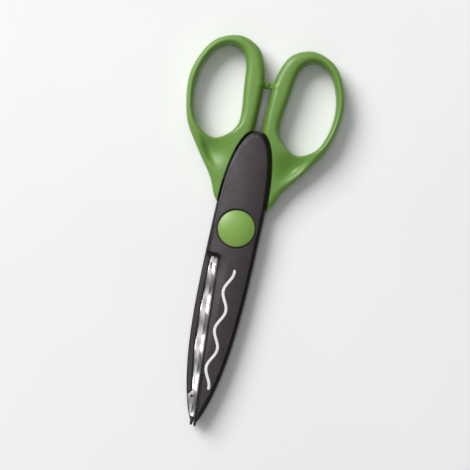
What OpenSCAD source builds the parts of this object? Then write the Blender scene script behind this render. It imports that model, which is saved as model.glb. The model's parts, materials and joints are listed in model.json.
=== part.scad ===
// Decorative edge scissors for paper craft, with a long wave edge, shown closed.
// The pivot axis is Z, the blade tips point to +Y, and the scissors lie on z = 0.
// The front half carries the right-hand bow, and the rear half the left-hand bow.
// Both halves are drawn in half coordinates: spine at -X, the plane between the halves at z = 0.

/* [Body halves] */
// Distance from the pivot axis to the blade tips
tip_reach = 85; // [80:1:95]
// Distance from the pivot axis to the end of the rounded tail
tail_reach = 41.75; // [40:0.25:44]
// Half width of a body half at the pivot
body_half_w = 10.6; // [10.4:0.1:11]
// Greatest thickness of one body half
half_t = 4.75; // [4.5:0.05:5]
// Distance from the pivot axis to the shoulder where the cutting side steps in
shoulder_y = 13.5; // [13:0.1:14]

/* [Cutting edge] */
// Shape of the cut
edge_pattern = "wave"; // [wave, zigzag]
// Length of one wave of the cut
wave_pitch = 16.4; // [8:0.2:20]
// Height of the cut from crest to trough
wave_h = 2.6; // [1:0.1:2.8]
// Thickness of the steel strips
steel_t = 0.8; // [0.6:0.1:1]
// Width of steel that stands out past the cover
reveal = 1.6; // [1.2:0.1:2]
// Width of the black lip along the back of each steel strip
lip_w = 2.7; // [2:0.1:3]

/* [Pivot] */
// Radius of the steel pivot post
post_r = 2.5; // [2:0.1:2.8]
// Radius of the round caps over the pivot
cap_r = 7.7; // [7:0.1:7.8]
// Height of the front cap's dome above its rim
cap_dome = 1.4; // [1:0.1:2]

/* [Handles] */
// Thickness of the bows, which is the thickness of the scissors where they are held
bow_t = 11; // [11:0.5:12]
// Half of the gap between the two shanks
shank_gap = 1.7; // [1.5:0.1:2]
// Depth of the dish in the web between bow and tail
dish_depth = 3; // [2:0.1:3.4]
// Fall of both faces from the bow towards the pivot, in degrees
web_fall = 4.5; // [3:0.5:5]

/* [Printed line] */
// Width of the printed line that shows the pattern
line_w = 1.2; // [0.8:0.1:1.5]
// Height of the printed line from crest to trough
line_h = 2.9; // [2:0.1:3.2]

/* [Hidden] */

big = 300;                       // longer than anything it cuts
mid_z = bow_t / 2;               // height of the plane between the halves
face_gap = 0.1;                  // from that plane to a body's inner face
steel_gap = 0.05;                // from that plane to a steel face
fit = 0.02;                      // clearance between pieces that are fixed together
run_fit = 0.04;                  // radial clearance of the running bushing
swing_gap = 0.35;                // clearance between a tail and the other half's handle

crown_r = 32;                    // radius of the crowned back of a body half
fore_tilt = 1.0;                 // fall of the crown towards the tip, in degrees
aft_tilt = 1.2;                  // fall of the crown towards the tail, in degrees
spine_y = 5;                     // where the spine starts to curve in
tip_half_w = 1.4;                // the blunt tip's reach from the centre line
tail_start = 3;                  // where the tail starts to curve in, behind the pivot
cover_root_x = 5;                // the cover's cutting side at the shoulder
cover_tip_x = -0.3;              // and at the tip

wave_start = 17.5;               // flat inside this radius, where the shoulders sweep
wave_steps = 12;                 // facets in one wave
blade_y0 = 11;                   // root end of the steel strips
blade_y1 = tip_reach - 3.7;      // tip end of the steel strips
lip_end = tip_reach - 14.5;      // where the lip ends and the steel runs out to the spine
blade_rim = 0.25;                // the steel's distance from the spine past the lip

cap_seat = 3.3;                  // the caps' seat, above the middle plane
cap_well_r = 8.3;                // radius of the recess around a cap
head_seat = 1.8;                 // the seat for washers and heads
head_well_r = 5.6;               // radius of the well for washers and heads
bush_r = 3.6;                    // outer radius of the bushings
washer_r = 4.5;                  // outer radius of the washers and heads
slip_r = 5.5;                    // outer radius of the washer between the halves
slip_t = 0.56;                   // its thickness
slip_well = 0.3;                 // depth of its seat, from the middle plane
washer_top = 2.1;                // top of the flat washers, above the middle plane
post_end = 2.5;                  // end of the pivot post, where the screw's head starts
head_top = 3.2;                  // top of the pivot screw's head
screw_r = 1.4;                   // thread radius of the pivot screw
skirt_z = 2.3;                   // lower end of the caps' skirts
skirt_wall = 0.53;               // wall of the caps' skirts
rim_round = 0.6;                 // chamfer on the rear cap's rim

rivet_r = 0.7;                   // radius of the blade rivets
rivet_span = [0.35, 1.75];       // from the steel's inner face to a rivet's head and its end
rivet_spots = [[-3, tip_reach - 12.2], [-2.4, 46.2], [0, 22]];
handle_screw_r = 1.1;            // thread radius of the handle screws
handle_screw_head = [2.1, 0.8];  // radius and height of their heads
handle_screw_end = 3.2;          // height of their ends, above the middle plane
handle_screw_spots = [[-3.4, -19], [0.6, -33.5]];
tongue_t = 2.3;                  // thickness of the handle's tongue inside the tail
tongue_wall = 1.5;               // wall of the tail around the tongue
tongue_y = -13;                  // front end of the tongue
tongue_arm = [[0, -17], [13, -20], [14.5, -35], [6, -38.6], [0, -38.6]];

dish_r = 22;                     // radius of the dish in the web
dish_spot = [17.5, -30.5];
fall_y = -44;                    // where the fall towards the pivot starts
nub_y = [-63.4, -60];            // ends of the stop nubs between the shanks
nub_half_t = 3;                  // their half thickness
nub_root_x = 4;                  // where they end inside the shanks
front_nub_x = -0.6;              // the front nub reaches across the gap
rear_nub_x = 0.75;               // the rear nub meets it

line_y = [17, 67.5];             // ends of the printed line
line_x = -1.75;                  // its middle
line_phase = 22.4;               // where its wave starts
line_steps = 48;
ink_t = 0.12;                    // how far the printed line stands out

// The bow's outline and its finger hole: the few points that a smooth closed curve passes through
bow_points = [[6, -12.5], [8.8, -8.6], [12.2, -11.6], [15.9, -19.4], [23.7, -30], [30.3, -40.6],
              [33.3, -55], [31.9, -65.5], [26, -75.6], [16, -79.6], [7, -76], [2.9, -67.5],
              [shank_gap, -58], [shank_gap, -43], [3.5, -36], [5, -20]];
hole_points = [[17, -35.6], [25.4, -39.2], [29.5, -49], [29.7, -60], [25.8, -70.4],
               [18.7, -75.3], [12, -71.2], [9.8, -58], [9, -43]];
// Each pair is half the height of a layer of the bow and how far its edge is drawn in
bow_layers = [[3.2, 0], [4.7, 0.5], [bow_t / 2, 1.2]];

// ---- Outlines ----

// Half width of a body half along its curved spine
function spine(y) = y <= spine_y ? body_half_w
    : body_half_w * pow(1 - pow((y - spine_y) / (tip_reach - spine_y), 3), 0.75);

// Cutting side of the cover, nearly straight from the shoulder to the tip
function cover_edge(y) = cover_tip_x + (cover_root_x - cover_tip_x)
    * pow((tip_reach - y) / (tip_reach - shoulder_y), 0.85);

// Rounded tail, t = 0 at its right and 180 at its left, drawn in by e
function tail_point(t, e) = [
    sign(cos(t)) * (body_half_w - e) * pow(abs(cos(t)), 0.84),
    -tail_start - (tail_reach - tail_start - e) * pow(sin(t), 0.83)];

// Smooth closed curve through points P, with n steps between neighbours
function curve(P, n = 6) = let (c = len(P)) [
    for (i = [0:c - 1], j = [0:n - 1])
        let (a = P[(i + c - 1) % c], b = P[i], d = P[(i + 1) % c], e = P[(i + 2) % c], t = j / n)
        0.5 * (2 * b + (d - a) * t + (2 * a - 5 * b + 4 * d - e) * t * t
               + (3 * b - a - 3 * d + e) * t * t * t)];

// Clockwise closed curve P moved by e towards its inside
function drawn_in(P, e) = let (c = len(P)) [
    for (i = [0:c - 1])
        let (d = P[(i + 1) % c] - P[(i + c - 1) % c])
        P[i] + e * [d[1], -d[0]] / norm(d)];

module tail_shape(e) {
    polygon(concat([[body_half_w - e, 4]], [for (t = [0:7.5:180]) tail_point(t, e)],
                   [[-body_half_w + e, 4]]));
}

module body_shape() {
    polygon(concat(
        [for (t = [180:-7.5:0]) tail_point(t, 0)],
        [[body_half_w, shoulder_y - 1], [body_half_w - 1, shoulder_y]],
        [for (k = [0:12]) let (y = shoulder_y + (tip_reach - shoulder_y) * k / 12)
            [cover_edge(y), y]],
        [for (k = [0:20]) let (y = tip_reach - (tip_reach - spine_y) * pow(k / 20, 1.5))
            [-max(spine(y), tip_half_w), y]]));
}

module blade_shape(e) {
    polygon(concat(
        [for (k = [0:12]) let (y = blade_y0 - e + (blade_y1 - blade_y0 + 2 * e) * k / 12)
            [cover_edge(max(y, shoulder_y)) + reveal + e, y]],
        [for (k = [0:5]) let (y = blade_y1 + e - (blade_y1 - lip_end - 2) * k / 5)
            [-spine(y) + blade_rim - e, y]],
        [for (k = [0:12]) let (y = lip_end - (lip_end - blade_y0 + e) * k / 12)
            [-spine(y) + lip_w - e, y]]));
}

// ---- Shapes shared by both halves ----

// Puts a half's own coordinates in place: s = 1 for the front half, -1 for the rear half
module place_half(s) {
    translate([0, 0, mid_z]) rotate([0, s > 0 ? 0 : 180, 0]) children();
}

function wave_unit(t) = edge_pattern == "zigzag" ? 1 - 4 * abs(t - floor(t) - 0.5) : sin(360 * t);

// Height of the surface that both blades share, as the half with sign s sees it
function wave(r, s) = s * wave_h / 2 * wave_unit((r - wave_start) / wave_pitch
    + (edge_pattern == "zigzag" ? 0.25 : 0));

wave_radii = concat([blade_y0 - 2], [for (r = [wave_start:wave_pitch / wave_steps:tip_reach + 5]) r]);

// Ring sector between heights lo and hi above the shared surface, ridges round the pivot
module wave_band(s, lo, hi) {
    last = len(wave_radii) - 1;
    heights = [for (r = wave_radii) r < wave_start ? 0 : wave(r, s)];
    rotate_extrude(start = 45, angle = 90, $fn = 360)
        polygon(concat(
            [for (k = [0:last]) [wave_radii[k], heights[k] + lo]],
            [for (k = [last:-1:0]) [wave_radii[k], heights[k] + hi]]));
}

// Crowned back of a half, which falls towards the tip and towards the tail
module crown(raise = 0) {
    intersection() {
        crown_roll(fore_tilt, raise);
        crown_roll(-aft_tilt, raise);
    }
}

// Large cylinder whose upper side is the crown, tilted about the pivot
module crown_roll(tilt, raise) {
    translate([0, 0, half_t]) rotate([-tilt, 0, 0]) translate([0, 0, -crown_r])
        rotate([90, 0, 0]) cylinder(h = big, r = crown_r + raise, center = true, $fn = 240);
}

module disc(r, z0, z1) {
    translate([0, 0, z0]) cylinder(h = z1 - z0, r = r, $fn = 96);
}

module tongue_shape(e) {
    intersection() {
        tail_shape(tongue_wall - e);
        translate([-big / 2, tongue_y + e - big]) square([big, big]);
    }
    polygon([for (p = tongue_arm) [p[0], p[1] + (p[1] > -30 ? e : -e)]]);
}

// ---- Pieces of one half, in half coordinates ----

// Rivets that stand on the waved steel, or the bores for them
module rivets(s, r, z0, z1) {
    for (p = rivet_spots) {
        seat = wave(norm(p), s) + steel_gap;
        translate([p[0], p[1], seat]) disc(r, z0, z1);
    }
}

module half_body(s) {
    difference() {
        intersection() {
            translate([0, 0, face_gap]) linear_extrude(half_t) body_shape();
            crown();
        }
        // pocket for the steel strip
        intersection() {
            translate([0, 0, -half_t]) linear_extrude(2 * half_t) blade_shape(fit);
            wave_band(s, -half_t, steel_gap + steel_t + fit);
        }
        rivets(s, rivet_r + fit, -1, rivet_span[1] + 0.1);
        // pocket for the handle's tongue, and its screws
        translate([0, 0, -1]) linear_extrude(1 + face_gap + tongue_t + fit) tongue_shape(fit * 2);
        handle_screw_set(fit);
        // pivot wells and bores
        disc(slip_r + 0.2, -1, slip_well);
        disc(bush_r, -1, half_t);
        disc(head_well_r, head_seat, half_t + 1);
        disc(cap_well_r, cap_seat, half_t + 1);
    }
}

module half_blade(s) {
    difference() {
        intersection() {
            translate([0, 0, -half_t]) linear_extrude(2 * half_t) blade_shape(0);
            wave_band(s, steel_gap, steel_gap + steel_t);
        }
        rivets(s, rivet_r + fit, -1, 2);
    }
}

// Handle screws, or with grow the bores for them
module handle_screw_set(grow) {
    for (p = handle_screw_spots) translate([p[0], p[1], 0]) {
        disc(handle_screw_r + grow, 0, handle_screw_end + grow);
        disc(handle_screw_head[0] + grow, face_gap, face_gap + handle_screw_head[1] + grow);
    }
}

// Screws: pan heads sunk in the tongue with a cross slot, threads reaching into the body
module half_handle_screws() {
    difference() {
        intersection() {
            handle_screw_set(0);
            translate([-big / 2, -big / 2, face_gap + 0.05]) cube([big, big, big]);
        }
        for (p = handle_screw_spots) translate([p[0], p[1], 0]) {
            for (turn = [0, 90]) rotate([0, 0, turn]) cube([2.4, 0.5, 1], center = true);
        }
    }
}

// Bow with rounded edges, built up in layers about its middle plane
module bow() {
    for (layer = bow_layers)
        linear_extrude(2 * layer[0], center = true) difference() {
            polygon(drawn_in(curve(bow_points), layer[1]));
            polygon(drawn_in(curve(hole_points), -layer[1]));
        }
}

module half_handle(nub_x) {
    difference() {
        union() {
            difference() {
                bow();
                // both faces fall towards the pivot, and the web is dished
                for (side = [-1, 1]) {
                    translate([0, fall_y, side * mid_z]) rotate([-side * web_fall, 0, 0])
                        translate([-big / 2, 0, side > 0 ? 0 : -bow_t]) cube([big, big, bow_t]);
                    translate([dish_spot[0], dish_spot[1], side * (mid_z + dish_r - dish_depth)])
                        sphere(r = dish_r, $fn = 120);
                }
                // room for the other half's tail below, and for this half's own tail above
                translate([0, 0, -bow_t]) linear_extrude(bow_t + face_gap / 2) tail_shape(-swing_gap);
                linear_extrude(bow_t) tail_shape(-fit);
            }
            translate([0, 0, face_gap]) linear_extrude(tongue_t) tongue_shape(0);
            // stop nub in the gap between the shanks
            translate([nub_x, nub_y[0], -nub_half_t])
                cube([nub_root_x - nub_x, nub_y[1] - nub_y[0], 2 * nub_half_t]);
        }
        handle_screw_set(fit);
    }
}

module bushing(inner_r, s) {
    color("ivory") place_half(s) difference() {
        disc(bush_r, slip_well, head_seat);
        disc(inner_r, 0, head_seat + 1);
    }
}

// Flat ring between heights z0 and z1 above the middle plane
module ring(r0, r1, z0, z1) {
    translate([0, 0, mid_z]) difference() {
        disc(r1, z0, z1);
        disc(r0, z0 - 1, z1 + 1);
    }
}

// ---- Nodes ----

module front_body() { color("#383336") place_half(1) half_body(1); }
module rear_body() { color("#383336") place_half(-1) half_body(-1); }
module front_blade() { color("#c9c3c6") place_half(1) half_blade(1); }
module rear_blade() { color("#c9c3c6") place_half(-1) half_blade(-1); }

module half_rivets(s) { color("#6d686a") place_half(s) rivets(s, rivet_r, rivet_span[0], rivet_span[1]); }
module front_blade_rivets() { half_rivets(1); }
module rear_blade_rivets() { half_rivets(-1); }

module front_handle() { color("#6d9a4e") place_half(1) half_handle(front_nub_x); }
module rear_handle() { color("#6d9a4e") place_half(-1) half_handle(rear_nub_x); }

module front_handle_screws() { color("#a8a8a8") place_half(1) half_handle_screws(); }
module rear_handle_screws() { color("#a8a8a8") place_half(-1) half_handle_screws(); }

// Shoulder post: head at the rear, tapped hole from the front
module pivot_post() {
    color("#b9b9bd") translate([0, 0, mid_z]) difference() {
        union() {
            disc(post_r, -post_end, post_end);
            disc(washer_r - 0.3, -washer_top - 1, -washer_top);
        }
        disc(screw_r + fit, -1.2, post_end + 1);
    }
}

// Screw with a cross slot that closes the stack from the front
module pivot_screw() {
    color("#b9b9bd") translate([0, 0, mid_z]) difference() {
        union() {
            disc(screw_r, -1, post_end + 0.1);
            disc(washer_r - 0.3, post_end, head_top);
        }
        for (turn = [0, 90])
            translate([0, 0, head_top]) rotate([0, 0, turn]) cube([5, 0.8, 0.8], center = true);
    }
}

module front_bushing() { bushing(post_r + run_fit, 1); }
module rear_bushing() { bushing(post_r, -1); }

module centre_washer() { color("#e8e6dc") ring(post_r + 0.1, slip_r, -slip_t / 2, slip_t / 2); }
module front_washer() { color("#c0c0c4") ring(post_r + 0.1, washer_r, head_seat + fit, washer_top); }
module rear_washer() { color("#c0c0c4") ring(post_r + 0.1, washer_r, -washer_top, -head_seat); }

// Conical spring washer that keeps the two halves pressed together
module spring_washer() {
    wall = 0.18;
    inner = [post_r + 0.1, post_end];
    outer = [washer_r - 0.1, washer_top + wall];
    color("#8f8f94") translate([0, 0, mid_z]) rotate_extrude($fn = 96)
        polygon([inner - [0, wall], outer - [0, wall], outer, inner]);
}

// Skirt that snaps a cap into the well over the pivot
module cap_skirt() {
    difference() {
        disc(head_well_r - fit, skirt_z, cap_seat + 0.1);
        disc(head_well_r - fit - skirt_wall, skirt_z - 1, cap_seat + 0.01);
    }
}

module front_pivot_cap() {
    rim_z = half_t;
    dome_r = (cap_r * cap_r + cap_dome * cap_dome) / (2 * cap_dome);
    color("#8cb84e") translate([0, 0, mid_z]) {
        intersection() {
            disc(cap_r, cap_seat, rim_z + cap_dome);
            translate([0, 0, rim_z + cap_dome - dome_r]) sphere(r = dome_r, $fn = 240);
        }
        cap_skirt();
    }
}

// Flat cap that the scissors rest on
module rear_pivot_cap() {
    color("#8cb84e") place_half(-1) {
        rotate_extrude($fn = 96)
            polygon([[0, cap_seat], [cap_r, cap_seat], [cap_r, mid_z - rim_round],
                     [cap_r - rim_round, mid_z], [0, mid_z]]);
        cap_skirt();
    }
}

// Printed line on the front cover that shows the pattern it cuts
module pattern_line() {
    path = [for (k = [0:line_steps])
        let (y = line_y[0] + (line_y[1] - line_y[0]) * k / line_steps)
        [line_x + line_h / 2 * wave_unit((y - line_phase) / wave_pitch), y]];
    side = [for (k = [0:line_steps])
        let (d = path[min(k + 1, line_steps)] - path[max(k - 1, 0)])
        line_w / 2 * [d[1], -d[0]] / norm(d)];
    left = [for (k = [line_steps:-1:0]) path[k] - side[k]];
    color("#f2f2ec") place_half(1) difference() {
        intersection() {
            linear_extrude(2 * half_t) polygon(concat(path + side, left));
            crown(ink_t);
        }
        crown();
    }
}

front_body();
rear_body();
front_blade();
rear_blade();
front_blade_rivets();
rear_blade_rivets();
front_handle();
rear_handle();
front_handle_screws();
rear_handle_screws();
pivot_post();
pivot_screw();
front_bushing();
rear_bushing();
centre_washer();
front_washer();
rear_washer();
spring_washer();
front_pivot_cap();
rear_pivot_cap();
pattern_line();
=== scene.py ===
"""Looks for the decorative edge scissors: moulded covers and bows, ribbed steel strips, printed line.

Shapes are worked out in millimetres in half coordinates, as in the part's source: spine at -X, tips
at +Y and the plane between the two halves at z = 0. place() puts them in the shared frame, in metres.
"""
import math

import bpy
import numpy as np
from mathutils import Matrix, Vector, kdtree
from mathutils.geometry import delaunay_2d_cdt
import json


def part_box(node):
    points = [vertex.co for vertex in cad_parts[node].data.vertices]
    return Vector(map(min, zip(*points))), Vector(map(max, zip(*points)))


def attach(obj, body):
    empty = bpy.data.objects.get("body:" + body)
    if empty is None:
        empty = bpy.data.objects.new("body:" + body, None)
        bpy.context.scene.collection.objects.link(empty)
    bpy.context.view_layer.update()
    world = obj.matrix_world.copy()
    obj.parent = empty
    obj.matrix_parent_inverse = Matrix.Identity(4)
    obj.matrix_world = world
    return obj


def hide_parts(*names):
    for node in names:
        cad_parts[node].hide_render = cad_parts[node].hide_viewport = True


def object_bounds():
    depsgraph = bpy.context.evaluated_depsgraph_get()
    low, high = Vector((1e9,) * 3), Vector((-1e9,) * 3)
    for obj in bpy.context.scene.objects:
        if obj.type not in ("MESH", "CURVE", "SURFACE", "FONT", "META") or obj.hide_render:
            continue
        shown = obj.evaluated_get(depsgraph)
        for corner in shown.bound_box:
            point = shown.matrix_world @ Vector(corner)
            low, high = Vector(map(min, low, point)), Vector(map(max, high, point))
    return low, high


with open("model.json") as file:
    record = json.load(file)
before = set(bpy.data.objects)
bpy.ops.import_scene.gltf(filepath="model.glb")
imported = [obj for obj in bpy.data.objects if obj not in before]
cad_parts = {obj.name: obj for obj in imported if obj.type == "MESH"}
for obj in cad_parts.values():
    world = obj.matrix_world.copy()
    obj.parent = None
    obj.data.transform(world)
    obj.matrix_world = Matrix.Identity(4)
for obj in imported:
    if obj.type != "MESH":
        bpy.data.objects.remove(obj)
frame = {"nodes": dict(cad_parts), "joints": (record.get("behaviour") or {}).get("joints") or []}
CAD_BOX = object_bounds()

MM = 0.001
FRONT, REAR = 1, -1
BODY = {FRONT: "front_half", REAR: "rear_half"}
SIDE_NAME = {FRONT: "front", REAR: "rear"}

# ---- Driving sizes, in mm, from the frame where it has them ----

MID_Z = frame["joints"][0]["pos_m"][2] / MM
TIP_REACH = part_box("front_body")[1].y / MM
TAIL_REACH = -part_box("front_body")[0].y / MM
HALF_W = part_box("front_body")[1].x / MM
CAP_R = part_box("front_pivot_cap")[1].x / MM
CAP_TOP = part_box("front_pivot_cap")[1].z / MM - MID_Z
BLADE_Y0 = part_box("front_blade")[0].y / MM
BLADE_Y1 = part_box("front_blade")[1].y / MM
BOW_HALF_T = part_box("front_handle")[1].z / MM - MID_Z

# ---- Outlines of the cover and the strip ----

HALF_T = 4.75           # greatest thickness of one body half
SHOULDER_Y = 13.5       # where the cutting side steps in
SHOULDER_CORNER = 0.3   # size of the corner of that step
SPINE_Y = 5             # where the spine starts to curve in
SPINE_POWERS = (3, 0.75)    # shape of the spine curve
TIP_HALF_W = 1.4        # the blunt tip's reach from the centre line
COVER_TIP_X = -0.3      # the cover's cutting side at the tip
COVER_RUN = 5.3         # how much further out it is at the shoulder
COVER_POWER = 0.85      # shape of the cutting side
TAIL_START = 3          # where the tail starts to curve in
TAIL_TOP_Y = 4          # where the outline of the tail alone is closed
TAIL_POWERS = (0.84, 0.83)  # shape of the tail, in X and Y
REVEAL = 1.6            # width of steel past the cover
LIP_W = 2.7             # width of the lip behind each steel strip
LIP_END = TIP_REACH - 14.5
LIP_RUN_OUT = 2         # length over which the strip widens past the lip
BLADE_RIM = 0.25        # the steel's distance from the spine past the lip

# ---- Gaps, wells and fasteners ----

FACE_GAP = 0.1          # from the middle plane to a body's inner face
STEEL_GAP = 0.05        # from the middle plane to a steel face
STEEL_T = 0.8
POCKET_GAP = 0.02       # above the strip in its pocket
WAVE_START = 17.5       # the blades are flat inside this radius
WAVE_PITCH = 16.4
WAVE_H = 2.6
CAP_WELL_R, CAP_SEAT = 8.3, 3.3
CAP_WELL_ROUND = 0.35
HEAD_WELL_R, HEAD_SEAT = 5.6, 1.8
SLIP_WELL_R, SLIP_WELL = 5.7, 0.3
BUSH_R = 3.62
RIVET_R = 0.72
RIVETS = [(-3, 72.8), (-2.4, 46.2), (0, 22)]
SCREWS = [(-3.4, -19), (0.6, -33.5)]
SCREW_BORE_R, SCREW_WELL_R, SCREW_WELL = 1.12, 2.14, 0.83

# ---- Surface of a cover ----

CUT_SIDE_Y = (12, 15)   # the cutting side's own rim and rounding set in here
SPINE_ROUND, CUT_ROUND = 1.3, 0.55
ROUND_CHANGE_X = (-1, 2)
RIM_W, CUT_RIM_W = 1.6, 0.8
RIM_CHANGE_X = (-0.5, 1.5)
PANEL_RISE, PANEL_EDGE = 0.14, 0.3
CROWN_CHANGE_Y = (11, 19)   # from the tail's crown to the blade's
TAIL_CROWN = 64         # the crown falls by x squared over this
SPINE_CROWN = 72        # the same on the spine side of the blade
CREASE_X, CREASE_ROUND = 0.5, 0.3
CUT_SLOPE, SPINE_SLOPE = 0.4, 0.03
TIP_FALL, TAIL_FALL = 0.0175, 0.021
INNER_TAIL_ROUND, INNER_BLADE_ROUND = 0.25, 0.7
INNER_CHANGE_Y = (12, 16)
POCKET_ROUND = 0.3
INNER_RIM_SHADE = (0.35, 0.75)    # depths where the polish and the painted shade of the inner rim fade
WEAR_DEPTH, WEAR_W = 0.35, 0.25     # worn line along the edge

# ---- Edges of a strip ----

GRIND_W, GRIND_DROP, GRIND_FADE = 0.9, 0.5, 0.1
STRIP_EDGE_ROUND = 0.08
RIVET_RING = 0.15       # mesh ring round each rivet

# ---- Handle ----

TONGUE_T = 2.3
TONGUE_WALL = 1.5
TONGUE_TOP_Y = -13
TONGUE_SIDE_GAP, TONGUE_TOP_GAP = 0.05, 0.04
SHANK_GAP = 1.7
NUB_X = {FRONT: -0.6, REAR: 0.75}
NUB_Y = (-63.4, -60.0)
NUB_SIDE_X = 6          # the nub is on the shank, inside this X
NUB_HALF_T = 3.0
NUB_BLEND_X = (1.2, 3.0)
BOW_POINTS = [(6, -12.5), (8.8, -8.6), (12.2, -11.6), (15.9, -19.4), (23.7, -30), (30.3, -40.6),
              (33.3, -55), (31.9, -65.5), (26, -75.6), (16, -79.6), (7, -76), (2.9, -67.5),
              (SHANK_GAP, -58), (SHANK_GAP, -43), (3.5, -36), (5, -20)]
HOLE_POINTS = [(17, -35.6), (25.4, -39.2), (29.5, -49), (29.7, -60), (25.8, -70.4),
               (18.7, -75.3), (12, -71.2), (9.8, -58), (9, -43)]
OUTER_ROUND, HOLE_ROUND, HOLE_TOP_ROUND = 2.9, 2.7, 0.9
HOLE_ROUND_Y = (-37, -46)
WALL_SHARE = 0.42       # share of the bow's height that stands upright at its edge
ROOT_HALF_T = 3.25      # half thickness beside the cover's tail
ROOT_TO_BOW_Y = (-14, -48)
DISH_DEPTH, DISH_SPOT, DISH_SPREAD = 2.7, (18, -29.5), (6.5, 6)
DISH_EDGE = (0.4, 4.2)
SEAM_GAP, SEAM_ROUND = 0.02, 0.4
PASSING_GAP = 0.35      # between a bow and the other half's tail

# ---- Printed line and caps ----

LINE_W, LINE_H, LINE_X = 1.15, 2.9, -1.75
LINE_Y0, LINE_Y1 = 17.6, 67.9
LINE_ZERO_Y = 22.4      # where the printed wave crosses its middle
INK_T, INK_UNDER, INK_ROUND = 0.05, 0.05, 0.12
CAP_CHAMFER = 0.15
SKIRT_GAP, SKIRT_INSET, SKIRT_Z = 0.05, 0.5, 2.3

# ---- Meshing ----

LOOP_STEP = 0.35        # spacing of points along outlines
WALL = 0.02             # width over which an upright wall rises, as seen from above
QUARTER = [0, 0.034, 0.134, 0.293, 0.5, 0.741, 1]   # 1 - cos of 0, 15 ... 90 degrees
CURVE_STEPS = 12        # points between two given points of a smooth curve
CHUNK = 2000            # points measured at a time
FOLD_SLACK, FOLD_SHARE = 0.01, 0.03     # how much nearer than its depth a ring may lie
ROW_SHARE = 0.866       # row height of a triangular grid over its spacing
LINE_CLEARANCE = 0.6    # grid points nearer to a line than this share of the spacing go
NEARNESS = 1e-3         # given to the triangulation
SMALLEST_AREA = 1e-9    # twice the area of the smallest triangle kept
NO_DISTANCE = 1e-4      # keeps a distance that is divided by above zero
SHARP_DEG = 38          # edges that turn more than this are shaded sharp
LATHE_SEGMENTS = 128
COVER_SPACING, STRIP_SPACING, HANDLE_SPACING, INK_SPACING = 0.6, 0.5, 0.8, 0.3
RIVET_STEP, SCREW_STEP, INK_STEP = 0.2, 0.3, 0.25
POCKET_RINGS = [0, WALL, -0.1, -POCKET_ROUND, -0.55]
SEAM_RINGS = [0, WALL, -0.06, -0.2, -SEAM_ROUND]


# ---- Plane geometry ----

def smoothstep(a, b, t):
    t = np.clip((t - a) / (b - a), 0, 1)
    return t * t * (3 - 2 * t)


def mix(a, b, t):
    return a + (b - a) * t


def quarter_round(u):
    """Height of a quarter circle, from 0 at its edge (u = 0) to 1 (u >= 1)."""
    return np.sqrt(1 - (1 - np.clip(u, 0, 1)) ** 2)


def soft_max0(c, width):
    """max(c, 0) with a rounded corner of that width."""
    return (c + np.sqrt(c * c + width * width)) / 2


def resample(points, step, closed=True):
    p = np.array(points, float)
    if closed:
        p = np.vstack([p, p[:1]])
    run = np.concatenate([[0], np.cumsum(np.linalg.norm(np.diff(p, axis=0), axis=1))])
    n = max(8, int(round(run[-1] / step)))
    at = np.linspace(0, run[-1], n + 1)
    if closed:
        at = at[:-1]
    return np.stack([np.interp(at, run, p[:, k]) for k in (0, 1)], axis=1)


def wall_inside(d):
    """Rises from 0 at an outline (d = 0) to 1 at a wall's width inside it."""
    return np.clip(d / WALL, 0, 1)


def wall_outside(d):
    """Rises from 0 at a wall's width outside an outline to 1 at the outline (d = 0)."""
    return np.clip(d / WALL + 1, 0, 1)


def soften(loop, rounds):
    """Rounds the corners of a closed loop by averaging neighbours."""
    for _ in range(rounds):
        loop = (np.roll(loop, 1, 0) + 2 * loop + np.roll(loop, -1, 0)) / 4
    return loop


def smooth_curve(points):
    """Closed Catmull-Rom curve through points, as in the part's source."""
    p = np.array(points, float)
    c = len(p)
    out = []
    for i in range(c):
        a, b, d, e = p[i - 1], p[i], p[(i + 1) % c], p[(i + 2) % c]
        for t in np.arange(CURVE_STEPS) / CURVE_STEPS:
            out.append(0.5 * (2 * b + (d - a) * t + (2 * a - 5 * b + 4 * d - e) * t ** 2
                              + (3 * b - a - 3 * d + e) * t ** 3))
    return np.array(out)


def circle(radius, centre=(0, 0), step=0.5):
    n = max(16, int(2 * math.pi * radius / step))
    t = np.arange(n) * 2 * math.pi / n
    return np.stack([centre[0] + radius * np.cos(t), centre[1] + radius * np.sin(t)], axis=1)


def drawn_in(loop, d):
    """Closed loop moved by d towards its inside."""
    q = np.roll(loop, -1, 0)
    turn = np.sign(np.sum(loop[:, 0] * q[:, 1] - q[:, 0] * loop[:, 1]))
    along = q - np.roll(loop, 1, 0)
    along /= np.linalg.norm(along, axis=1)[:, None]
    return loop + turn * d * np.stack([-along[:, 1], along[:, 0]], axis=1)


def distance(points, loop, closed=True):
    """Distance from each point to the polyline."""
    a = loop if closed else loop[:-1]
    b = np.roll(loop, -1, 0) if closed else loop[1:]
    ab = b - a
    length2 = np.maximum((ab ** 2).sum(1), 1e-12)
    out = np.empty(len(points))
    for i in range(0, len(points), CHUNK):
        p = points[i:i + CHUNK, None, :] - a[None]
        t = np.clip((p * ab[None]).sum(2) / length2[None], 0, 1)
        out[i:i + CHUNK] = np.sqrt(((p - t[..., None] * ab[None]) ** 2).sum(2)).min(1)
    return out


def spot_distance(points, spots):
    """Distance from each point to the nearest of a few spots."""
    return np.min([np.hypot(points[:, 0] - x, points[:, 1] - y) for x, y in spots], axis=0)


def inside(points, loop):
    x, y = points[:, 0], points[:, 1]
    hit = np.zeros(len(points), bool)
    for (ax, ay), (bx, by) in zip(loop, np.roll(loop, -1, 0)):
        crosses = (ay > y) != (by > y)
        if crosses.any():
            at = ax + (y - ay) * (bx - ax) / (by - ay if by != ay else 1)
            hit ^= crosses & (x < at)
    return hit


def signed(points, loop):
    """Distance to the loop, positive inside it."""
    return distance(points, loop) * np.where(inside(points, loop), 1, -1)


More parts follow.
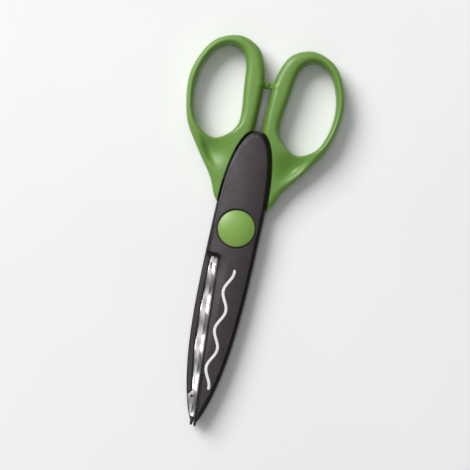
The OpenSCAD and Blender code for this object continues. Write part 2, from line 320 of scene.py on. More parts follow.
def rings(loop, depths):
    """The loop and copies drawn in by depths, less the stretches where a copy folds on itself."""
    made = []
    for d in depths:
        p = drawn_in(loop, d)
        ok = distance(p, loop) > abs(d) - FOLD_SLACK - FOLD_SHARE * abs(d)
        n = len(p)
        made.append((p, [(i, (i + 1) % n) for i in range(n) if ok[i] and ok[(i + 1) % n]]))
    return made


def triangulate(lines, keep, spacing):
    """Points and triangles that fill the region where keep() is true, with edges along lines."""
    points, edges = [], []
    for p, e in lines:
        used = sorted({i for pair in e for i in pair})
        place_of = {i: len(points) + k for k, i in enumerate(used)}
        points += [tuple(p[i]) for i in used]
        edges += [(place_of[i], place_of[j]) for i, j in e]
    tree = kdtree.KDTree(len(points))
    for i, (x, y) in enumerate(points):
        tree.insert((x, y, 0), i)
    tree.balance()
    low, high = np.min(points, axis=0), np.max(points, axis=0)
    rows = np.arange(low[1], high[1], spacing * ROW_SHARE)
    columns = np.arange(low[0], high[0], spacing)
    grid = np.array([(x + spacing / 2 * (k % 2), y) for k, y in enumerate(rows) for x in columns])
    grid = grid[keep(grid)]
    clear = LINE_CLEARANCE * spacing
    points += [tuple(g) for g in grid if tree.find((g[0], g[1], 0))[2] > clear]
    made = delaunay_2d_cdt([Vector(p) for p in points], edges, [], 0, NEARNESS)
    xy = np.array([tuple(v) for v in made[0]])
    tris = np.array(made[2])
    a, b, c = xy[tris[:, 0]], xy[tris[:, 1]], xy[tris[:, 2]]
    area = (b[:, 0] - a[:, 0]) * (c[:, 1] - a[:, 1]) - (b[:, 1] - a[:, 1]) * (c[:, 0] - a[:, 0])
    tris = tris[keep((a + b + c) / 3) & (np.abs(area) > SMALLEST_AREA)]
    used, back = np.unique(tris, return_inverse=True)
    return xy[used], back.reshape(tris.shape)


# ---- Making pieces ----

def place(points, side):
    """Half coordinates in mm to the shared frame in metres."""
    p = np.array(points, float) * (side, 1, side)
    p[:, 2] += MID_Z
    return p * MM


def new_piece(name, points, faces, side):
    mesh = bpy.data.meshes.new(name)
    mesh.from_pydata(place(points, side).tolist(), [], [tuple(int(i) for i in f) for f in faces])
    mesh.validate()
    mesh.shade_smooth()
    mesh.set_sharp_from_angle(angle=math.radians(SHARP_DEG))
    obj = bpy.data.objects.new(name, mesh)
    bpy.context.scene.collection.objects.link(obj)
    return obj


def plate(name, lines, keep, top, bottom, spacing, side):
    """Closed solid over a region, between heights top(xy) and bottom(xy)."""
    xy, tris = triangulate(lines, keep, spacing)
    n = len(xy)
    edges = np.vstack([tris[:, [0, 1]], tris[:, [1, 2]], tris[:, [2, 0]]])
    seen = {(a, b) for a, b in edges.tolist()}
    rim = [(a, b) for a, b in seen if (b, a) not in seen]
    walls = [(b, a, a + n, b + n) for a, b in sorted(rim)]
    points = np.vstack([np.column_stack([xy, top(xy)]), np.column_stack([xy, bottom(xy)])])
    faces = tris.tolist() + (tris[:, ::-1] + n).tolist() + walls
    return new_piece(name, points, faces, side), np.vstack([xy, xy])


def set_attribute(obj, name, values):
    layer = obj.data.attributes.new(name, "FLOAT", "POINT")
    layer.data.foreach_set("value", np.asarray(values, np.float32))


def lathe(name, profile, side):
    """Solid of revolution about Z. The profile runs from the top of the axis round to its bottom."""
    segments = LATHE_SEGMENTS
    rows = profile[1:-1]
    turns = np.arange(segments) * 2 * math.pi / segments
    points = [(0, 0, profile[0][1]), (0, 0, profile[-1][1])]
    points += [(r * math.cos(t), r * math.sin(t), z) for r, z in rows for t in turns]
    faces = []
    last = 2 + (len(rows) - 1) * segments
    for k in range(segments):
        j = (k + 1) % segments
        faces.append((0, 2 + k, 2 + j))
        for base in range(2, last, segments):
            faces.append((base + j, base + k, base + segments + k, base + segments + j))
        faces.append((last + j, last + k, 1))
    return new_piece(name, points, faces, side)


# ---- Outlines of one half ----

def spine(y):
    """Distance of the spine from the centre line."""
    t = np.clip((np.asarray(y, float) - SPINE_Y) / (TIP_REACH - SPINE_Y), 0, 1)
    return HALF_W * (1 - t ** SPINE_POWERS[0]) ** SPINE_POWERS[1]


def cover_edge(y):
    """X of the cover's cutting side."""
    t = np.clip((TIP_REACH - np.asarray(y, float)) / (TIP_REACH - SHOULDER_Y), 0, 1)
    return COVER_TIP_X + COVER_RUN * t ** COVER_POWER


def cutting_edge():
    """The strip's cutting edge, from its root to its tip."""
    up = np.linspace(BLADE_Y0, BLADE_Y1, 100)
    return np.stack([cover_edge(np.maximum(up, SHOULDER_Y)) + REVEAL, up], axis=1)


def tail_points(e):
    """Rounded tail from its left end round to its right end, drawn in by e."""
    t = np.radians(np.linspace(180, 0, 121))
    s = np.maximum(np.sin(t), 0)
    x = np.sign(np.cos(t)) * (HALF_W - e) * np.abs(np.cos(t)) ** TAIL_POWERS[0]
    y = -TAIL_START - (TAIL_REACH - TAIL_START - e) * s ** TAIL_POWERS[1]
    return np.stack([x, y], axis=1)


def body_loop():
    """Outline of a cover."""
    up = np.linspace(SHOULDER_Y, TIP_REACH, 120)
    down = TIP_REACH - (TIP_REACH - SPINE_Y) * np.linspace(0, 1, 160) ** 1.5
    shoulder = [[HALF_W, SHOULDER_Y - SHOULDER_CORNER], [HALF_W - SHOULDER_CORNER, SHOULDER_Y]]
    points = np.vstack([
        tail_points(0), shoulder, np.stack([cover_edge(up), up], axis=1),
        np.stack([-np.maximum(spine(down), TIP_HALF_W), down], axis=1)])
    return soften(resample(points, LOOP_STEP), 3)


def blade_loop():
    """Outline of a steel strip."""
    tip = np.linspace(BLADE_Y1, LIP_END + LIP_RUN_OUT, 24)
    back = np.linspace(LIP_END, BLADE_Y0, 90)
    points = np.vstack([
        cutting_edge(),
        np.stack([-spine(tip) + BLADE_RIM, tip], axis=1),
        np.stack([-spine(back) + LIP_W, back], axis=1)])
    return soften(resample(points, LOOP_STEP), 1)


def tail_loop(e):
    """Outline of the tail alone, drawn in by e."""
    top = [[HALF_W - e, TAIL_TOP_Y], [-HALF_W + e, TAIL_TOP_Y]]
    return resample(np.vstack([tail_points(e), top]), LOOP_STEP)


def tongue_arm(e):
    """Corners of the arm from the tongue to the bow, grown by e along Y."""
    return [(0, -17 + e), (13, -20 + e), (14.5, -35 - e), (6, -38.6 - e), (0, -38.6 - e)]


def in_tongue(xy, e=0.0):
    """True where the tongue is, grown by e."""
    tail = inside(xy, tail_loop(TONGUE_WALL - e)) & (xy[:, 1] < TONGUE_TOP_Y + e)
    return tail | inside(xy, np.array(tongue_arm(e)))


def tongue_lines(e):
    """Mesh lines round the tongue, grown by e."""
    arm = resample(tongue_arm(e), LOOP_STEP)
    tail = resample(tail_points(TONGUE_WALL - e), LOOP_STEP, closed=False)
    tail = tail[tail[:, 1] < TONGUE_TOP_Y + e]
    top = resample([tail[-1], tail[0]], LOOP_STEP, closed=False)
    return [(arm, loop_edges(arm)), (tail, open_edges(tail)), (top, open_edges(top))]


def loop_edges(p):
    return [(i, (i + 1) % len(p)) for i in range(len(p))]


def open_edges(p):
    return [(i, i + 1) for i in range(len(p) - 1)]


def closed_lines(*loops):
    return [(p, loop_edges(p)) for p in loops]


def wave(xy, side):
    """Height of the surface that both blades share, as that side sees it."""
    r = np.hypot(xy[:, 0], xy[:, 1])
    turn = 2 * math.pi * (r - WAVE_START) / WAVE_PITCH
    return np.where(r < WAVE_START, 0, side * WAVE_H / 2 * np.sin(turn))


# ---- Covers ----

def rim_width(xy):
    """Width of the polished rim around the grained panel, whose darker colour is painted shade:
    narrow along the cutting side.
    """
    x, y = xy[:, 0], xy[:, 1]
    return mix(RIM_W, CUT_RIM_W, smoothstep(*RIM_CHANGE_X, x) * smoothstep(*CUT_SIDE_Y, y))


def crown(xy):
    """Outer surface of a cover before its edges are rounded: creased blade, rounded tail."""
    x, y = xy[:, 0], xy[:, 1]
    fall = np.where(y > 0, y * TIP_FALL, -y * TAIL_FALL)
    tail = HALF_T - x * x / TAIL_CROWN
    c = x - CREASE_X
    cut_side = CUT_SLOPE * soft_max0(c, CREASE_ROUND)
    spine_side = SPINE_SLOPE * soft_max0(-c, CREASE_ROUND)
    blade = HALF_T - cut_side - spine_side - np.minimum(x, 0) ** 2 / SPINE_CROWN
    return mix(tail, blade, smoothstep(*CROWN_CHANGE_Y, y)) - fall


def cover_top(xy, loop):
    """Outer surface: crown, rounded edge, a panel raised above its rim, and the wells for the cap and
    the head.
    """
    x, y = xy[:, 0], xy[:, 1]
    d = distance(xy, loop)
    r = np.hypot(x, y)
    rho = mix(SPINE_ROUND, CUT_ROUND, smoothstep(*ROUND_CHANGE_X, x) * smoothstep(*CUT_SIDE_Y, y))
    z = crown(xy) - rho * (1 - quarter_round(d / rho))
    z -= PANEL_RISE * (1 - smoothstep(0, PANEL_EDGE, d - rim_width(xy)))
    z -= CAP_WELL_ROUND * (1 - quarter_round((r - CAP_WELL_R) / CAP_WELL_ROUND))
    z = mix(z, CAP_SEAT, wall_inside(CAP_WELL_R - r))
    return mix(z, HEAD_SEAT, wall_inside(HEAD_WELL_R - r))


def cover_bottom(xy, loop, blade, side):
    """Inner surface, with the pockets for the strip, the tongue and the slip washer."""
    x, y = xy[:, 0], xy[:, 1]
    blade_in = signed(xy, blade)
    rho = mix(INNER_TAIL_ROUND, INNER_BLADE_ROUND, smoothstep(*INNER_CHANGE_Y, y))
    z = FACE_GAP + rho * (1 - quarter_round(distance(xy, loop) / rho))
    lead_in = POCKET_ROUND * (1 - quarter_round(-blade_in / POCKET_ROUND))
    z += lead_in * (blade_in <= 0) * (y > SHOULDER_Y)
    pocket = wave(xy, side) + STEEL_GAP + STEEL_T + POCKET_GAP
    z = mix(z, pocket, wall_outside(blade_in))
    z = np.where(in_tongue(xy, TONGUE_SIDE_GAP), FACE_GAP + TONGUE_T + TONGUE_TOP_GAP, z)
    return mix(z, SLIP_WELL, wall_inside(SLIP_WELL_R - np.hypot(x, y)))


def cover_lines(loop, blade):
    """Mesh lines of a cover: outline, panel, strip pocket, tongue pocket and round wells."""
    depths = sorted({round(q * rho, 3) for q in QUARTER for rho in (CUT_ROUND, SPINE_ROUND)})
    depths += [w + PANEL_EDGE * k for w in (CUT_RIM_W, RIM_W) for k in (0, 0.5, 1)]
    lines = rings(loop, depths)
    lines += rings(blade, POCKET_RINGS)
    lines += tongue_lines(TONGUE_SIDE_GAP) + tongue_lines(TONGUE_SIDE_GAP - WALL)
    lines += closed_lines(*[circle(r) for r in (
        BUSH_R, HEAD_WELL_R, HEAD_WELL_R - WALL, SLIP_WELL_R, SLIP_WELL_R - WALL, CAP_WELL_R - WALL)])
    lines += closed_lines(*[circle(CAP_WELL_R + CAP_WELL_ROUND * q) for q in QUARTER])
    return lines


def mark_cover(cover, xy, loop, blade):
    """Stores where the polished rim with its painted shade and the worn edge are, for the material.
    """
    d = distance(xy, loop)
    n = len(xy) // 2
    # Painted shade: near black along the outline on the outer face, and along the outline and the
    # strip's pocket on the inner face.
    outer_rim_shade = 1 - smoothstep(0, PANEL_EDGE, (d - rim_width(xy))[:n])
    ledge = np.minimum(d, -signed(xy, blade))[n:]
    inner_rim_shade = 1 - smoothstep(*INNER_RIM_SHADE, ledge)
    set_attribute(cover, "rim", np.concatenate([outer_rim_shade, inner_rim_shade]))
    set_attribute(cover, "wear", np.exp(-((d - WEAR_DEPTH) / WEAR_W) ** 2))


def make_cover(side):
    """A moulded cover."""
    loop = body_loop()
    blade = blade_loop()

    def top(xy):
        return cover_top(xy, loop)

    def bottom(xy):
        return cover_bottom(xy, loop, blade, side)

    def keep(xy):
        return inside(xy, loop) & (np.hypot(xy[:, 0], xy[:, 1]) > BUSH_R)

    name = SIDE_NAME[side]
    lines = cover_lines(loop, blade)
    cover, xy = plate(f"{name}_cover", lines, keep, top, bottom, COVER_SPACING, side)
    mark_cover(cover, xy, loop, blade)
    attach(cover, BODY[side])
    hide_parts(f"{name}_body")
    return cover


# ---- Steel strips ----

def make_strip(side):
    """A ribbed steel strip with a ground cutting edge."""
    loop = blade_loop()
    cutting = cutting_edge()

    def edge_fall(xy):
        return STRIP_EDGE_ROUND * (1 - quarter_round(distance(xy, loop) / STRIP_EDGE_ROUND))

    def bottom(xy):
        return wave(xy, side) + STEEL_GAP + edge_fall(xy)

    def top(xy):
        ground = GRIND_DROP * np.clip(1 - distance(xy, cutting, closed=False) / GRIND_W, 0, 1)
        return wave(xy, side) + STEEL_GAP + STEEL_T - ground - edge_fall(xy)

    def keep(xy):
        return inside(xy, loop) & (spot_distance(xy, RIVETS) > RIVET_R)

    lines = rings(loop, [0, STRIP_EDGE_ROUND / 4, STRIP_EDGE_ROUND, GRIND_W - GRIND_FADE, GRIND_W])
    radii = (RIVET_R, RIVET_R + RIVET_RING)
    lines += closed_lines(*[circle(r, p, RIVET_STEP) for p in RIVETS for r in radii])
    name = SIDE_NAME[side]
    strip, xy = plate(f"{name}_steel_strip", lines, keep, top, bottom, STRIP_SPACING, side)
    to_edge = distance(xy, cutting, closed=False)
    set_attribute(strip, "ground", 1 - smoothstep(GRIND_W - GRIND_FADE, GRIND_W, to_edge))
    n = len(xy) // 2
    set_attribute(strip, "outer", [1] * n + [0] * n)
    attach(strip, BODY[side])
    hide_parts(f"{name}_blade")
    return strip


# ---- Handles ----

def bow_loop(side):
    """Outline of the bow, with the stop nub on its inner shank."""
    loop = resample(smooth_curve(BOW_POINTS), LOOP_STEP)
    at_nub = (loop[:, 0] < NUB_SIDE_X) & (loop[:, 1] > NUB_Y[0]) & (loop[:, 1] < NUB_Y[1])
    first, last = np.flatnonzero(at_nub)[[0, -1]]
    ends = [loop[first, 1], loop[last, 1]]
    corners = [(NUB_X[side], ends[0]), (NUB_X[side], ends[1])]
    loop = np.vstack([loop[:first + 1], corners, loop[last:]])
    return soften(resample(loop, LOOP_STEP), 2)


def bow_height(xy, outer, hole):
    """Half the bow's thickness: rounded at its edges and dished between the hole and the root."""
    x, y = xy[:, 0], xy[:, 1]
    d_out = distance(xy, outer)
    d_hole = distance(xy, hole)
    hole_round = mix(HOLE_TOP_ROUND, HOLE_ROUND, smoothstep(*HOLE_ROUND_Y, y))
    near = np.hypot(OUTER_ROUND / np.maximum(d_out, NO_DISTANCE),
                    hole_round / np.maximum(d_hole, NO_DISTANCE))
    full = mix(ROOT_HALF_T, BOW_HALF_T, smoothstep(*ROOT_TO_BOW_Y, y))
    across = (x - DISH_SPOT[0]) / DISH_SPREAD[0]
    along = (y - DISH_SPOT[1]) / DISH_SPREAD[1]
    dish = DISH_DEPTH * np.exp(-across ** 2 - along ** 2)
    full = full - dish * smoothstep(*DISH_EDGE, d_out)
    full = mix(full, NUB_HALF_T, 1 - smoothstep(*NUB_BLEND_X, x))
    return full * (WALL_SHARE + (1 - WALL_SHARE) * quarter_round(1 / near))


def handle_lines(outer, hole, own_tail, other_tail):
    """Mesh lines of a handle: bow, finger hole, seams with the covers, tongue and screws."""
    lines = rings(outer, [q * OUTER_ROUND for q in QUARTER])
    lines += rings(hole, [-q * HOLE_ROUND for q in QUARTER])
    lines += rings(own_tail, SEAM_RINGS)
    lines += rings(other_tail, [0, -WALL])
    lines += tongue_lines(0)
    radii = (SCREW_BORE_R, SCREW_WELL_R, SCREW_WELL_R - WALL)
    lines += closed_lines(*[circle(r, p, SCREW_STEP) for p in SCREWS for r in radii])
    return lines


def make_handle(side):
    """A finger bow with its nub and the tongue that goes into the cover."""
    outer = bow_loop(side)
    hole = resample(smooth_curve(HOLE_POINTS), LOOP_STEP)
    own_tail = tail_loop(-SEAM_GAP)
    other_tail = tail_loop(-PASSING_GAP)

    def top(xy):
        into = signed(xy, own_tail)
        z = bow_height(xy, outer, hole) - SEAM_ROUND * (1 - quarter_round(-into / SEAM_ROUND))
        return mix(z, FACE_GAP + TONGUE_T, wall_outside(into))

    def bottom(xy):
        z = mix(-bow_height(xy, outer, hole), FACE_GAP, wall_outside(signed(xy, other_tail)))
        return mix(z, FACE_GAP + SCREW_WELL, wall_inside(SCREW_WELL_R - spot_distance(xy, SCREWS)))

    def keep(xy):
        bow = inside(xy, outer) & ~inside(xy, hole) & ~inside(xy, own_tail)
        return (bow | in_tongue(xy)) & (spot_distance(xy, SCREWS) > SCREW_BORE_R)

    name = SIDE_NAME[side]
    lines = handle_lines(outer, hole, own_tail, other_tail)
    handle, _ = plate(f"{name}_handle_bow", lines, keep, top, bottom, HANDLE_SPACING, side)
    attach(handle, BODY[side])
    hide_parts(f"{name}_handle")
    return handle


# ---- Caps and printed line ----

def skirt_profile():
    """The hidden side of a cap, from its widest point in to the axis: seat and skirt."""
    outer_r = HEAD_WELL_R - SKIRT_GAP
    inner_r = HEAD_WELL_R - SKIRT_INSET
    return [(CAP_R, CAP_SEAT + CAP_CHAMFER), (CAP_R - CAP_CHAMFER, CAP_SEAT), (outer_r, CAP_SEAT),
            (outer_r, SKIRT_Z), (inner_r, SKIRT_Z), (inner_r, CAP_SEAT), (0, CAP_SEAT)]


def make_front_cap():
    """Domed cap with a rolled rim."""
    roll, rim_drop, roll_drop, dome_rows = 0.45, 0.1, 0.05, 24
    rise = CAP_TOP - (HALF_T - rim_drop)
    dome_r = (CAP_R ** 2 + rise ** 2) / (2 * rise)
    profile = [(0, CAP_TOP)]
    for k in range(1, dome_rows + 1):
        r = (CAP_R - roll) * k / dome_rows
        profile.append((r, CAP_TOP - dome_r + math.sqrt(dome_r ** 2 - r * r)))
    edge_z = profile[-1][1]
    for a in np.radians([20, 40, 60, 80, 90]):
        z = edge_z - roll * (1 - math.cos(a)) - roll_drop
        profile.append((CAP_R - roll + roll * math.sin(a), z))
    cap = lathe("front_cap_dome", profile + skirt_profile(), FRONT)
    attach(cap, "front_half")
    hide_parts("front_pivot_cap")
    return cap


def make_rear_cap():
    """Flat cap that the scissors rest on, with a rounded edge and a shallow ring."""
    roll = 0.6
    ring = [(4.6, 0), (4.75, 0.12), (5.0, 0.12), (5.15, 0)]     # radius and depth
    profile = [(0, MID_Z)]
    profile += [(r, MID_Z - depth) for r, depth in ring]
    profile.append((CAP_R - roll, MID_Z))
    for a in np.radians([15, 30, 45, 60, 75, 90]):
        profile.append((CAP_R - roll + roll * math.sin(a), MID_Z - roll * (1 - math.cos(a))))
    cap = lathe("rear_cap_disc", profile + skirt_profile(), REAR)
    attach(cap, "rear_half")
    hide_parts("rear_pivot_cap")
    return cap


def ribbon(path, width):
    """Closed outline of a ribbon along a path, with round ends."""
    along = np.gradient(path, axis=0)
    along /= np.linalg.norm(along, axis=1)[:, None]
    across = np.stack([along[:, 1], -along[:, 0]], axis=1) * width / 2
    ends = []
    for centre, outwards in ((path[-1], along[-1]), (path[0], -along[0])):
        start = math.atan2(outwards[1], outwards[0])
        t = start + np.radians(np.linspace(-75, 75, 9))
        ends.append(centre + width / 2 * np.stack([np.cos(t), np.sin(t)], axis=1))
    return np.vstack([path + across, ends[0], (path - across)[::-1], ends[1]])


def make_printed_line():
    """The printed wave: a thin ribbon of ink on the crown."""
    y = np.linspace(LINE_Y0, LINE_Y1, 260)
    x = LINE_X + LINE_H / 2 * np.sin(2 * math.pi * (y - LINE_ZERO_Y) / WAVE_PITCH)
    path = resample(np.stack([x, y], axis=1), INK_STEP, closed=False)
    loop = ribbon(path, LINE_W)

    def top(xy):
        return crown(xy) + INK_T * quarter_round(distance(xy, loop) / INK_ROUND)

    def bottom(xy):
        return crown(xy) - INK_UNDER

    def keep(xy):
        return inside(xy, loop)

    lines = rings(loop, [0, INK_ROUND / 3, INK_ROUND])
    line, _ = plate("printed_wave", lines, keep, top, bottom, INK_SPACING, FRONT)
    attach(line, "front_half")
    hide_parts("pattern_line")
    return line


# ---- Materials ----

# Sockets of the colour mix node, by number, since its names repeat for each kind of data
MIX_FACTOR, MIX_A, MIX_B, MIX_RESULT = 0, 6, 7, 2
GREEN_ROUGH = 0.42
BRUSH_DEPTH = 0.00002     # of the grinding lines in steel, in metres


def set_input(tree, socket, value):
    """Links the socket to another one, or gives it a constant."""
    if isinstance(value, bpy.types.NodeSocket):
        tree.links.new(value, socket)
    else:
        socket.default_value = value


def add(tree, kind, settings=(), **inputs):
    """A node with its settings and inputs. i_0 is input 0, and From_Min is the input From Min."""
    node = tree.nodes.new(kind)
    for key, value in dict(settings).items():
        setattr(node, key, value)
    for key, value in inputs.items():
        label = int(key[2:]) if key.startswith("i_") else key.replace("_", " ")
        set_input(tree, node.inputs[label], value)
    return node


def new_material(name, **shader):
    material = bpy.data.materials.new(name)
    material.use_nodes = True
    tree = material.node_tree
    bsdf = tree.nodes["Principled BSDF"]
    for key, value in shader.items():
        bsdf.inputs[key.replace("_", " ")].default_value = value
    return material, tree, bsdf


def noise(tree, scale, detail=3.0, stretch=None, roughness=0.5):
    """Noise in the piece's own coordinates, finer along an axis with a large stretch."""
    coords = add(tree, "ShaderNodeTexCoord").outputs["Object"]
    if stretch:
        coords = add(tree, "ShaderNodeMapping", Vector=coords, Scale=stretch).outputs["Vector"]
    return add(tree, "ShaderNodeTexNoise", Vector=coords, Scale=scale, Detail=detail,
               Roughness=roughness).outputs["Fac"]


def spread(tree, value, low, high, to_low, to_high):
    """Maps low ... high to to_low ... to_high, and clamps."""
    return add(tree, "ShaderNodeMapRange", {"clamp": True}, Value=value, From_Min=low, From_Max=high,
               To_Min=to_low, To_Max=to_high).outputs["Result"]


def blend_colour(tree, factor, a, b):
    """Colour a where factor is 0 and colour b where it is 1."""
    node = tree.nodes.new("ShaderNodeMix")
    node.data_type = "RGBA"
    set_input(tree, node.inputs[MIX_FACTOR], factor)
    for index, colour in ((MIX_A, a), (MIX_B, b)):
        value = (*colour, 1) if isinstance(colour, tuple) else colour
        set_input(tree, node.inputs[index], value)
    return node.outputs[MIX_RESULT]


def attribute(tree, name):
    return add(tree, "ShaderNodeAttribute", {"attribute_name": name}).outputs["Fac"]


def math_node(tree, operation, a, b):
    return add(tree, "ShaderNodeMath", {"operation": operation}, i_0=a, i_1=b).outputs[0]


def times(tree, a, b):
    return math_node(tree, "MULTIPLY", a, b)


def rest_of(tree, share):
    """1 - share."""
    return math_node(tree, "SUBTRACT", 1.0, share)


def bump(tree, bsdf, *layers):
    """Stacks bump layers of (height socket, strength, depth in metres)."""
    normal = None
    for height, strength, depth in layers:
        node = add(tree, "ShaderNodeBump", Strength=strength, Distance=depth, Height=height)
        if normal:
            tree.links.new(normal, node.inputs["Normal"])
        normal = node.outputs["Normal"]
    tree.links.new(normal, bsdf.inputs["Normal"])


def scratches(tree, stretch):
    """Sparse hair lines: 1 on a scratch, 0 off it."""
    share, fade = 0.34, 0.03
    lines = noise(tree, 1.0, 1.0, stretch)
    patches = noise(tree, 60, 2.0)
    thin = spread(tree, lines, 1 - share, 1 - share + fade, 0, 1)
    return times(tree, thin, spread(tree, patches, 0.5, 0.62, 0, 1))


def black_plastic():
    """Spark-grained panel inside a polished rim whose darker colour is painted shade along the edges.
    """
    deep, light = (0.034, 0.025, 0.028), (0.050, 0.038, 0.042)
    # The rim colour is painted shade, near black where the rounded edges turn away from the light.
    polished_rim_shade, worn_edge, scuffed = (0.0045, 0.004, 0.0045), (0.1, 0.092, 0.096), (0.2, 0.19, 0.19)
    material, tree, bsdf = new_material("black_plastic", Specular_IOR_Level=0.5, IOR=1.5)
    base = blend_colour(tree, spread(tree, noise(tree, 140, 4.0), 0.3, 0.7, 0, 1), deep, light)
    # rim marks the polished band whose darker base colour is painted shade.
    rim = attribute(tree, "rim")
    base = blend_colour(tree, rim, base, polished_rim_shade)
    worn = spread(tree, noise(tree, 500, 4.0), 0.52, 0.7, 0, 0.3)
    base = blend_colour(tree, times(tree, attribute(tree, "wear"), worn), base, worn_edge)
    scuff = times(tree, scratches(tree, (900, 90, 900)), 0.1)
    base = blend_colour(tree, scuff, base, scuffed)
    tree.links.new(base, bsdf.inputs["Base Color"])
    rough = spread(tree, noise(tree, 420, 3.0), 0.3, 0.7, 0.46, 0.60)
    rough = math_node(tree, "SUBTRACT", rough, times(tree, rim, 0.2))
    tree.links.new(rough, bsdf.inputs["Roughness"])
    grain = times(tree, noise(tree, 1900, 3.0), rest_of(tree, rim))
    bump(tree, bsdf, (grain, 0.8, 0.00012), (noise(tree, 160, 2.0), 0.15, 0.0001))
    return material


def green_plastic(name, deep, light):
    """Satin moulded plastic with faint flow marks, specks and scuffs."""
    scuffed = (0.6, 0.7, 0.5)
    material, tree, bsdf = new_material(name, Specular_IOR_Level=0.5, IOR=1.49, Coat_Weight=0.25,
                                        Coat_Roughness=0.34, Subsurface_Weight=0.08)
    bsdf.inputs["Subsurface Scale"].default_value = 0.001
    flow = noise(tree, 55, 3.0, (1, 0.35, 1))
    base = blend_colour(tree, spread(tree, flow, 0.3, 0.7, 0, 1), deep, light)
    speck = spread(tree, noise(tree, 2600, 1.0), 0.66, 0.74, 0, 0.25)
    base = blend_colour(tree, speck, base, tuple(min(1, 1.5 * c) for c in light))
    scuff = times(tree, scratches(tree, (500, 60, 500)), 0.1)
    base = blend_colour(tree, scuff, base, scuffed)
    tree.links.new(base, bsdf.inputs["Base Color"])
    rough = spread(tree, noise(tree, 260, 4.0), 0.3, 0.7, GREEN_ROUGH - 0.05, GREEN_ROUGH + 0.08)
    tree.links.new(rough, bsdf.inputs["Roughness"])
    bump(tree, bsdf, (noise(tree, 1500, 2.0), 0.4, 0.00006), (noise(tree, 120, 2.0), 0.2, 0.0002))
    return material


def steel(name, colour, stretch, low, high):
    """Metal with fine grinding lines along the direction where stretch is small."""
    material, tree, bsdf = new_material(name, Metallic=1.0)
    lines = noise(tree, 1.0, 4.0, stretch, 0.65)
    stain = noise(tree, 130, 4.0)
    dark = tuple(0.8 * c for c in colour)
    stained = tuple(0.62 * c for c in colour)
    base = blend_colour(tree, spread(tree, lines, 0.35, 0.65, 0, 1), dark, colour)
    base = blend_colour(tree, spread(tree, stain, 0.55, 0.75, 0, 0.3), base, stained)
    tree.links.new(base, bsdf.inputs["Base Color"])
    tree.links.new(spread(tree, lines, 0.3, 0.7, low, high), bsdf.inputs["Roughness"])
    bump(tree, bsdf, (lines, 0.4, BRUSH_DEPTH))
    return material


def strip_steel():
    """Polished inner face, dull brushed outer face, and a finely ground bright cutting edge."""
    dark, bright = (0.66, 0.625, 0.64), (0.80, 0.77, 0.785)
    stained, dulled = (0.5, 0.47, 0.48), (0.30, 0.28, 0.29)
    material, tree, bsdf = new_material("strip_steel", Metallic=1.0)
    ground = attribute(tree, "ground")
    dull = times(tree, attribute(tree, "outer"), rest_of(tree, ground))
    along = noise(tree, 1.0, 4.0, (2600, 60, 400), 0.65)
    across = noise(tree, 1.0, 3.0, (90, 2600, 90), 0.6)
    along = times(tree, along, rest_of(tree, ground))
    lines = math_node(tree, "ADD", along, times(tree, across, ground))
    base = blend_colour(tree, spread(tree, lines, 0.35, 0.65, 0, 1), dark, bright)
    stain = spread(tree, noise(tree, 150, 4.0), 0.55, 0.75, 0, 0.25)
    base = blend_colour(tree, stain, base, stained)
    base = blend_colour(tree, times(tree, dull, 0.7), base, dulled)
    tree.links.new(base, bsdf.inputs["Base Color"])
    rough = spread(tree, lines, 0.3, 0.7, 0.30, 0.42)
    rough = math_node(tree, "ADD", rough, times(tree, dull, 0.1))
    tree.links.new(rough, bsdf.inputs["Roughness"])
    bump(tree, bsdf, (lines, 0.4, BRUSH_DEPTH))
    return material


def white_ink():
    """Printed ink, worn grey in small spots."""
    material, tree, bsdf = new_material("white_ink", Specular_IOR_Level=0.4)
    worn = spread(tree, noise(tree, 1800, 4.0), 0.6, 0.72, 0, 0.35)
    base = blend_colour(tree, spread(tree, noise(tree, 700, 3.0), 0.3, 0.7, 0, 1), (0.80, 0.79, 0.78),
                        (0.92, 0.91, 0.90))
    base = blend_colour(tree, worn, base, (0.45, 0.43, 0.43))
    tree.links.new(base, bsdf.inputs["Base Color"])
    tree.links.new(spread(tree, noise(tree, 900, 2.0), 0.3, 0.7, 0.45, 0.6), bsdf.inputs["Roughness"])
    bump(tree, bsdf, (noise(tree, 4200, 2.0), 0.3, 0.00002))
    return material


def pale_plastic(name, colour):
    """Bare plastic of the bushings and the slip washer."""
    material, tree, bsdf = new_material(name, Specular_IOR_Level=0.5, Subsurface_Weight=0.1)
    bsdf.inputs["Subsurface Scale"].default_value = 0.001
    base = blend_colour(tree, spread(tree, noise(tree, 300, 3.0), 0.3, 0.7, 0, 1),
                        tuple(0.88 * c for c in colour), colour)
    tree.links.new(base, bsdf.inputs["Base Color"])
    tree.links.new(spread(tree, noise(tree, 600, 2.0), 0.3, 0.7, 0.35, 0.5), bsdf.inputs["Roughness"])
    bump(tree, bsdf, (noise(tree, 2600, 2.0), 0.2, 0.00002))
    return material


def finish_node(names, material):
    """Gives a material to CAD nodes that keep their own shape."""
    for name in names:
        obj = frame["nodes"][name]
        obj.data.materials.clear()
        obj.data.materials.append(material)


def dress(obj, material):
    obj.data.materials.append(material)


# ---- Floor, lights and camera ----

def make_stage():
    """A pale paper floor under the scissors."""
    size, cells, gap = 4.0, 24, 0.0001
    step = size / cells
    row = cells + 1
    points = [(-size / 2 + i * step, -size / 2 + j * step, 0) for j in range(row) for i in range(row)]
    corners = [j * row + i for j in range(cells) for i in range(cells)]
    faces = [(k, k + 1, k + row + 1, k + row) for k in corners]
    mesh = bpy.data.meshes.new("floor")
    mesh.from_pydata(points, [], faces)
    floor = bpy.data.objects.new("floor", mesh)
    bpy.context.scene.collection.objects.link(floor)
    floor.location.z = CAD_BOX[0].z - gap
    material, tree, bsdf = new_material("floor_paper", Specular_IOR_Level=0.2)
    base = blend_colour(tree, spread(tree, noise(tree, 9, 3.0), 0.3, 0.7, 0, 1), (0.88, 0.88, 0.875),
                        (0.91, 0.91, 0.905))
    tree.links.new(base, bsdf.inputs["Base Color"])
    tree.links.new(spread(tree, noise(tree, 60, 3.0), 0.3, 0.7, 0.75, 0.85), bsdf.inputs["Roughness"])
    mesh.materials.append(material)


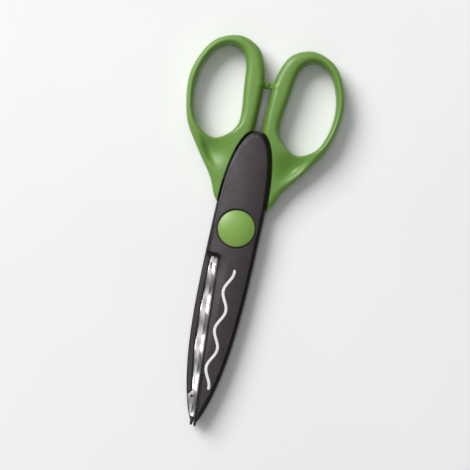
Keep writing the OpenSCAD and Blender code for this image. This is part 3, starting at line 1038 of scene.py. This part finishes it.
def area_light(name, location, target, size, watts):
    data = bpy.data.lights.new(name, "AREA")
    data.shape = "RECTANGLE"
    data.size, data.size_y = size
    data.energy = watts
    light = bpy.data.objects.new(name, data)
    light.location = location
    light.rotation_euler = (Vector(target) - Vector(location)).to_track_quat("-Z", "Y").to_euler()
    bpy.context.scene.collection.objects.link(light)


def make_world():
    """Dim fill light behind a pale backdrop that only the camera sees."""
    world = bpy.data.worlds.new("studio")
    bpy.context.scene.world = world
    world.use_nodes = True
    tree = world.node_tree
    fill = tree.nodes["Background"]
    fill.inputs["Color"].default_value = (0.97, 0.98, 1.0, 1)
    fill.inputs["Strength"].default_value = 0.12
    backdrop = add(tree, "ShaderNodeBackground", Color=(0.84, 0.845, 0.85, 1), Strength=1.0)
    seen = add(tree, "ShaderNodeLightPath").outputs["Is Camera Ray"]
    mixed = add(tree, "ShaderNodeMixShader", Fac=seen)
    tree.links.new(fill.outputs[0], mixed.inputs[1])
    tree.links.new(backdrop.outputs[0], mixed.inputs[2])
    tree.links.new(mixed.outputs[0], tree.nodes["World Output"].inputs["Surface"])


def make_light():
    make_world()
    centre = (CAD_BOX[0] + CAD_BOX[1]) / 2
    area_light("key", (1.5, -1.0, 1.6), centre, (1.5, 1.5), 66.0)
    area_light("overhead", (0.0, 0.0, 1.3), centre, (0.5, 4.4), 7.2)
    bpy.context.scene.view_settings.view_transform = "Standard"


def make_camera():
    """Straight down on the front face, turned so that the handles are at the top."""
    lens, sensor, roll_deg, frame_w = 100, 36, 192.6, 0.196
    centre = (CAD_BOX[0] + CAD_BOX[1]) / 2
    data = bpy.data.cameras.new("camera")
    data.lens, data.sensor_width = lens, sensor
    camera = bpy.data.objects.new("camera", data)
    camera.location = (centre.x, centre.y, CAD_BOX[1].z + frame_w * lens / sensor)
    camera.rotation_euler = (0, 0, math.radians(roll_deg))
    data.clip_start, data.clip_end = 0.01, 20
    bpy.context.scene.collection.objects.link(camera)
    bpy.context.scene.camera = camera


# ---- The scissors ----

black = black_plastic()
strip = strip_steel()
handle_green = green_plastic("handle_green", (0.112, 0.245, 0.030), (0.154, 0.305, 0.050))
cap_green = green_plastic("cap_green", (0.185, 0.345, 0.05), (0.22, 0.39, 0.075))
for half in (FRONT, REAR):
    dress(make_cover(half), black)
    dress(make_strip(half), strip)
    dress(make_handle(half), handle_green)
dress(make_front_cap(), cap_green)
dress(make_rear_cap(), cap_green)
dress(make_printed_line(), white_ink())
finish_node(["front_blade_rivets", "rear_blade_rivets"],
            steel("rivet_steel", (0.09, 0.085, 0.087), (900, 900, 900), 0.4, 0.6))
finish_node(["front_handle_screws", "rear_handle_screws"],
            steel("screw_steel", (0.66, 0.66, 0.68), (1500, 300, 900), 0.2, 0.35))
finish_node(["pivot_post", "pivot_screw"],
            steel("post_steel", (0.62, 0.62, 0.64), (300, 300, 6000), 0.22, 0.38))
finish_node(["front_washer", "rear_washer"],
            steel("washer_steel", (0.66, 0.66, 0.68), (1200, 200, 900), 0.25, 0.4))
finish_node(["spring_washer"], steel("spring_steel", (0.36, 0.38, 0.45), (900, 200, 900), 0.25, 0.42))
finish_node(["front_bushing", "rear_bushing"], pale_plastic("bushing_plastic", (0.84, 0.81, 0.72)))
finish_node(["centre_washer"], pale_plastic("slip_plastic", (0.83, 0.81, 0.75)))

make_stage()
make_light()
make_camera()
